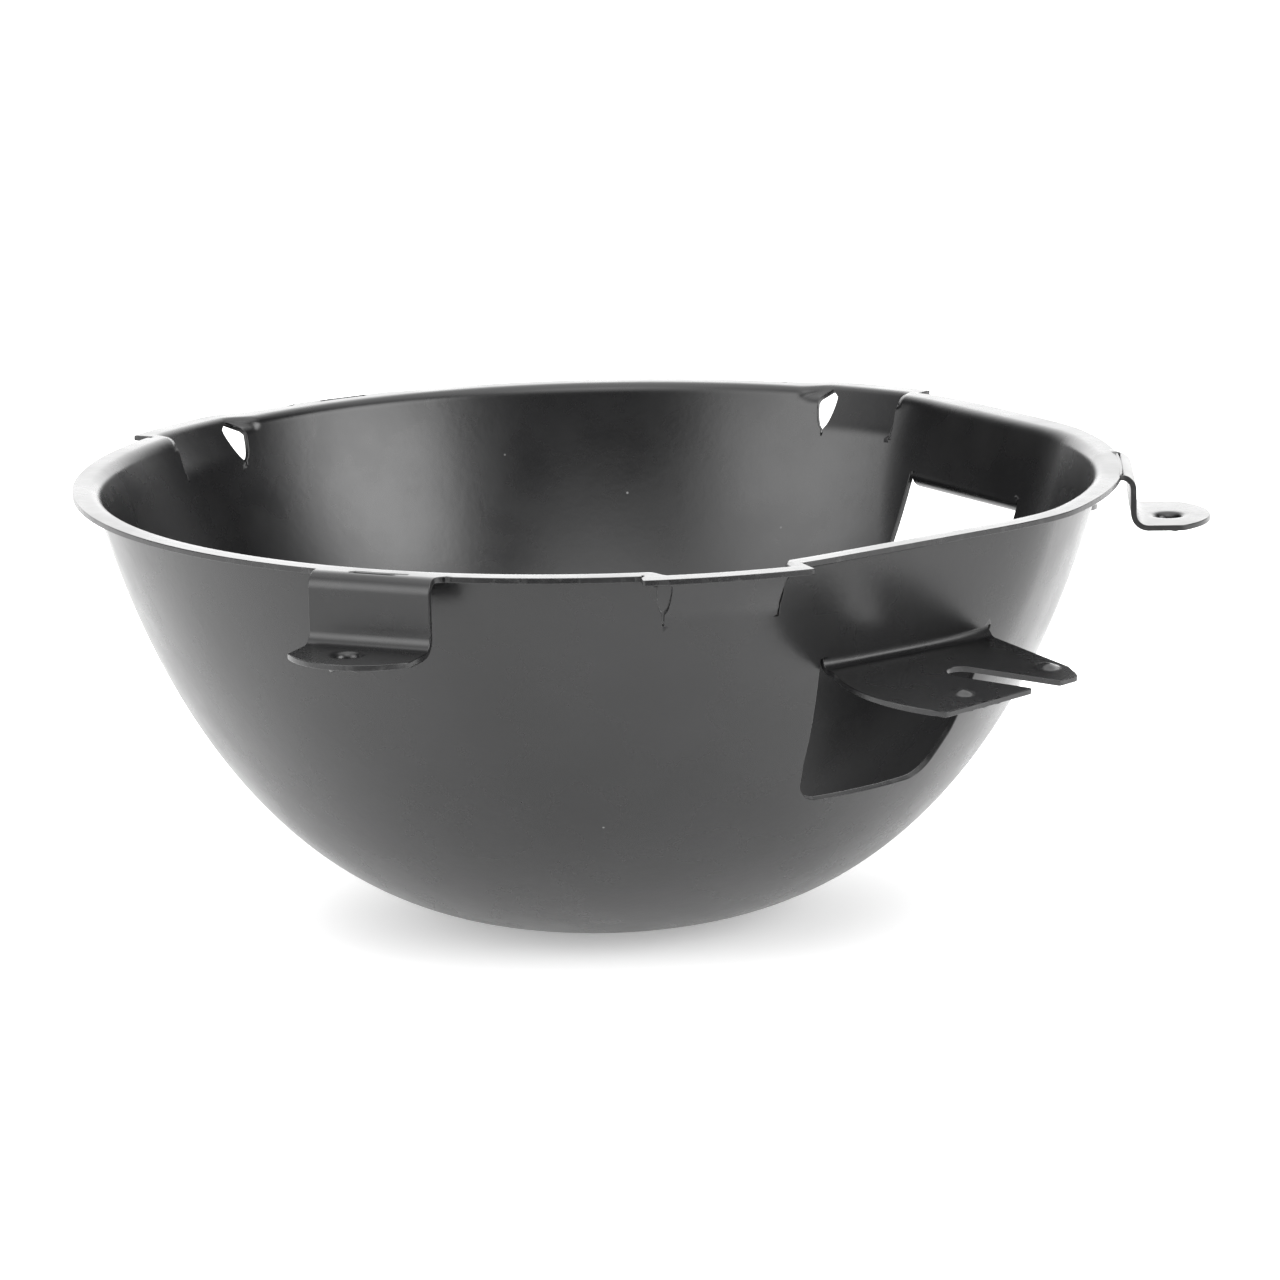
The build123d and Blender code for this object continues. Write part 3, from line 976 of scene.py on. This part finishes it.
def make_piece(piece, faces):
    """Closed mesh of one piece of the sheet, with normals shared across its seams."""
    number, places, facing, edge_mark = {}, [], [], []

    def vertex(kind, k):
        key = (kind, k)
        if key not in number:
            number[key] = len(places)
            if kind == "outer":
                places.append(outer_place[k])
                facing.append(normals[k])
            elif kind == "inner":
                places.append(inner_place[k])
                facing.append(-normals[k])
            else:
                places.append(rim_places[k][kind])
                facing.append(rim_normals[k][kind])
            edge_mark.append(1.0 if kind not in ("outer", "inner") else 0.0)
        return number[key]

    def wall_between(a, b, upper, lower):
        return [vertex(upper, b), vertex(upper, a), vertex(lower, a), vertex(lower, b)]

    polygons, smooth_face = [], []
    directed = {(a, b) for f in faces for a, b in zip(f, f[1:] + f[:1])}
    for f in faces:
        polygons.append([vertex("outer", k) for k in f])
        polygons.append([vertex("inner", k) for k in reversed(f)])
        smooth_face += [True, True]
    order = ["outer", 0, 1, 2, 3, "inner"]
    seam_ends = {}
    for a, b in directed:
        if (b, a) in directed:
            continue
        if (b, a) in edge_owner:
            polygons.append(wall_between(a, b, "outer", "inner"))
            smooth_face.append(False)
            continue
        for upper, lower in zip(order, order[1:]):
            polygons.append(wall_between(a, b, upper, lower))
            smooth_face.append(True)
        seam_ends[a] = seam_ends.get(a, 0) + 1
        seam_ends[b] = seam_ends.get(b, 0) - 1
    for k, sign in seam_ends.items():
        if sign == 0:
            continue
        cap = [vertex(kind, k) for kind in order]
        polygons.append(cap if sign > 0 else cap[::-1])
        smooth_face.append(False)

    mesh = bpy.data.meshes.new(piece)
    mesh.from_pydata([tuple(p * MM) for p in places], [], polygons)
    mesh.validate()
    facing = np.array(facing)
    corner_normals = []
    for polygon, is_smooth in zip(mesh.polygons, smooth_face):
        polygon.use_smooth = True
        flat = np.array(polygon.normal)
        for v in polygon.vertices:
            corner_normals.append(tuple(facing[v] if is_smooth else flat))
    mesh.normals_split_custom_set(corner_normals)
    mark = mesh.attributes.new("cut_edge", "FLOAT", "POINT")
    mark.data.foreach_set("value", np.array(edge_mark, np.float32))
    thing = bpy.data.objects.new(piece + "_sheet", mesh)
    bpy.context.scene.collection.objects.link(thing)
    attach(thing, "root")
    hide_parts(piece)
    return thing


grouped = {}
for face, piece in zip(sheet.faces, sheet.face_piece):
    grouped.setdefault(piece, []).append(face)
pieces = [make_piece(piece, faces) for piece, faces in grouped.items()]


# ---------------------------------------------------------------- material
def coated_steel():
    """Satin black coating over pressed steel, thin and scuffed along the cut edges, where the
    colour is also lightened in patches as a painted highlight along the edges.
    """
    material = bpy.data.materials.new("satin_black_coating")
    material.use_nodes = True
    nodes, links = material.node_tree.nodes, material.node_tree.links
    shader = nodes["Principled BSDF"]
    where = nodes.new("ShaderNodeTexCoord").outputs["Object"]

    def noise(scale, detail=2.0, roughness=0.5):
        node = nodes.new("ShaderNodeTexNoise")
        node.inputs["Scale"].default_value = scale
        node.inputs["Detail"].default_value = detail
        node.inputs["Roughness"].default_value = roughness
        links.new(where, node.inputs["Vector"])
        return node.outputs["Fac"]

    def ranged(value, low, high, to_low, to_high):
        node = nodes.new("ShaderNodeMapRange")
        node.interpolation_type = "SMOOTHSTEP"
        node.inputs["From Min"].default_value = low
        node.inputs["From Max"].default_value = high
        node.inputs["To Min"].default_value = to_low
        node.inputs["To Max"].default_value = to_high
        links.new(value, node.inputs["Value"])
        return node.outputs["Result"]

    def combine(operation, a, b):
        node = nodes.new("ShaderNodeMath")
        node.operation = operation
        for socket, value in zip(node.inputs, (a, b)):
            if isinstance(value, float):
                socket.default_value = value
            else:
                links.new(value, socket)
        return node.outputs[0]

    def mixed(factor, a, b):
        node = nodes.new("ShaderNodeMix")
        node.data_type = "RGBA"
        links.new(factor, node.inputs["Factor"])
        for socket, value in ((node.inputs[6], a), (node.inputs[7], b)):
            if isinstance(value, tuple):
                socket.default_value = value + (1.0,)
            else:
                links.new(value, socket)
        return node.outputs[2]

    cloud = ranged(noise(38.0, 3.0), 0.35, 0.65, 0.0, 1.0)
    colour = mixed(cloud, (0.0055, 0.0055, 0.0058), (0.0085, 0.0085, 0.009))

    # Cut edges painted lighter in noisy patches: partly scuffed thin coating, partly a painted
    # highlight standing in for the light caught along the edges.
    edge = nodes.new("ShaderNodeAttribute")
    edge.attribute_name = "cut_edge"
    edge_scuffs_and_glints = ranged(noise(420.0, 4.0, 0.7), 0.5, 0.72, 0.0, 1.0)
    edge_wear_and_highlight = combine("MULTIPLY", edge.outputs["Fac"], edge_scuffs_and_glints)
    colour = mixed(combine("MULTIPLY", edge_wear_and_highlight, 0.12), colour, (0.17, 0.17, 0.17))

    specks = nodes.new("ShaderNodeTexVoronoi")
    specks.inputs["Scale"].default_value = 170.0
    links.new(where, specks.inputs["Vector"])
    dot = ranged(specks.outputs["Distance"], 0.03, 0.06, 1.0, 0.0)
    chosen = nodes.new("ShaderNodeSeparateColor")
    links.new(specks.outputs["Color"], chosen.inputs["Color"])
    dust = combine("MULTIPLY", dot, ranged(chosen.outputs[0], 0.91, 0.93, 0.0, 1.0))
    colour = mixed(combine("MULTIPLY", dust, 0.55), colour, (0.35, 0.35, 0.35))
    links.new(colour, shader.inputs["Base Color"])

    patches = ranged(noise(60.0, 4.0, 0.6), 0.3, 0.7, 0.24, 0.31)
    roughness = combine("ADD", patches, combine("MULTIPLY", edge_wear_and_highlight, 0.1))
    links.new(roughness, shader.inputs["Roughness"])
    shader.inputs["Metallic"].default_value = 0.0
    shader.inputs["IOR"].default_value = 1.5

    bump = nodes.new("ShaderNodeBump")
    bump.inputs["Strength"].default_value = 0.12
    bump.inputs["Distance"].default_value = 0.0001
    grain = combine("ADD", noise(900.0, 2.0), combine("MULTIPLY", noise(260.0, 2.0), 1.5))
    links.new(grain, bump.inputs["Height"])
    links.new(bump.outputs["Normal"], shader.inputs["Normal"])
    return material


coating = coated_steel()
for piece in pieces:
    piece.data.materials.append(coating)


# ---------------------------------------------------------------- stage
def make_floor():
    mesh = bpy.data.meshes.new("floor")
    reach, front = 6.0, 0.36        # the table ends not far in front of the bowl
    corners = [(-reach, -front, 0), (reach, -front, 0), (reach, reach, 0), (-reach, reach, 0)]
    mesh.from_pydata(corners, [], [(0, 1, 2, 3)])
    floor = bpy.data.objects.new("floor", mesh)
    bpy.context.scene.collection.objects.link(floor)
    paper = bpy.data.materials.new("white_paper")
    paper.use_nodes = True
    shader = paper.node_tree.nodes["Principled BSDF"]
    shader.inputs["Base Color"].default_value = (0.93, 0.93, 0.93, 1.0)
    shader.inputs["Roughness"].default_value = 0.8
    shader.inputs["Specular IOR Level"].default_value = 0.2
    shader.inputs["Emission Color"].default_value = (1.0, 1.0, 1.0, 1.0)
    shader.inputs["Emission Strength"].default_value = 0.35
    mesh.materials.append(paper)


def make_world():
    """White studio: soft light from every side, dimmer around the camera."""
    world = bpy.data.worlds.new("studio")
    bpy.context.scene.world = world
    world.use_nodes = True
    nodes, links = world.node_tree.nodes, world.node_tree.links
    background = nodes["Background"]
    background.inputs["Color"].default_value = (1.0, 1.0, 1.0, 1.0)
    way = nodes.new("ShaderNodeTexCoord").outputs["Generated"]
    # bearing, elevation, full inside, gone outside (degrees), strength
    lobes = (
        (180.0, 8.0, 20.0, 60.0, 3.1),      # white backdrop behind the bowl
        (56.0, 8.0, 0.0, 38.0, 1.2),        # low fill on both sides
        (-60.0, 8.0, 0.0, 40.0, 2.0),
        (60.0, 23.0, 3.0, 27.0, 6.4),       # soft boxes, seen by the inside
        (-54.0, 27.0, 3.0, 34.0, 3.1),
        (0.0, 50.0, 4.0, 26.0, 2.4),        # over the camera
        (0.0, 90.0, 0.0, 50.0, 2.6),        # big one overhead
    )
    total = None
    for bearing, elevation, inner, outer, strength in lobes:
        dot = nodes.new("ShaderNodeVectorMath")
        dot.operation = "DOT_PRODUCT"
        links.new(way, dot.inputs[0])
        axis = Vector(out_of(np.array(bearing))) * cos(radians(elevation))
        axis.z = sin(radians(elevation))
        dot.inputs[1].default_value = axis
        lobe = nodes.new("ShaderNodeMapRange")
        lobe.interpolation_type = "SMOOTHSTEP"
        lobe.inputs["From Min"].default_value = cos(radians(outer))
        lobe.inputs["From Max"].default_value = cos(radians(inner))
        lobe.inputs["To Max"].default_value = strength
        links.new(dot.outputs["Value"], lobe.inputs["Value"])
        add = nodes.new("ShaderNodeMath")
        add.operation = "ADD"
        add.inputs[0].default_value = 0.04
        if total is not None:
            links.new(total, add.inputs[0])
        links.new(lobe.outputs["Result"], add.inputs[1])
        total = add.outputs[0]
    seen = nodes.new("ShaderNodeLightPath").outputs["Is Camera Ray"]
    pick = nodes.new("ShaderNodeMix")
    links.new(seen, pick.inputs["Factor"])
    links.new(total, pick.inputs["A"])
    pick.inputs["B"].default_value = 1.1
    links.new(pick.outputs["Result"], background.inputs["Strength"])


def make_camera():
    """Level with a person seated at the table, looking slightly down into the bowl."""
    distance, height = 1.0, 0.2703                  # metres
    pitch, yaw, roll = 0.2189, 0.0069, -0.0219      # radians
    forward = Vector((sin(yaw) * cos(pitch), cos(yaw) * cos(pitch), -sin(pitch)))
    right = Vector((cos(yaw), -sin(yaw), 0))
    up = right.cross(forward)
    right, up = cos(roll) * right + sin(roll) * up, cos(roll) * up - sin(roll) * right
    data = bpy.data.cameras.new("camera")
    data.sensor_width = 36.0
    data.lens = 161.1
    camera = bpy.data.objects.new("camera", data)
    turn = Matrix((right, up, -forward)).transposed().to_4x4()
    camera.matrix_world = Matrix.Translation((0, -distance, height)) @ turn
    bpy.context.scene.collection.objects.link(camera)
    bpy.context.scene.camera = camera


make_floor()
make_world()
make_camera()
bpy.context.scene.view_settings.view_transform = "Standard"
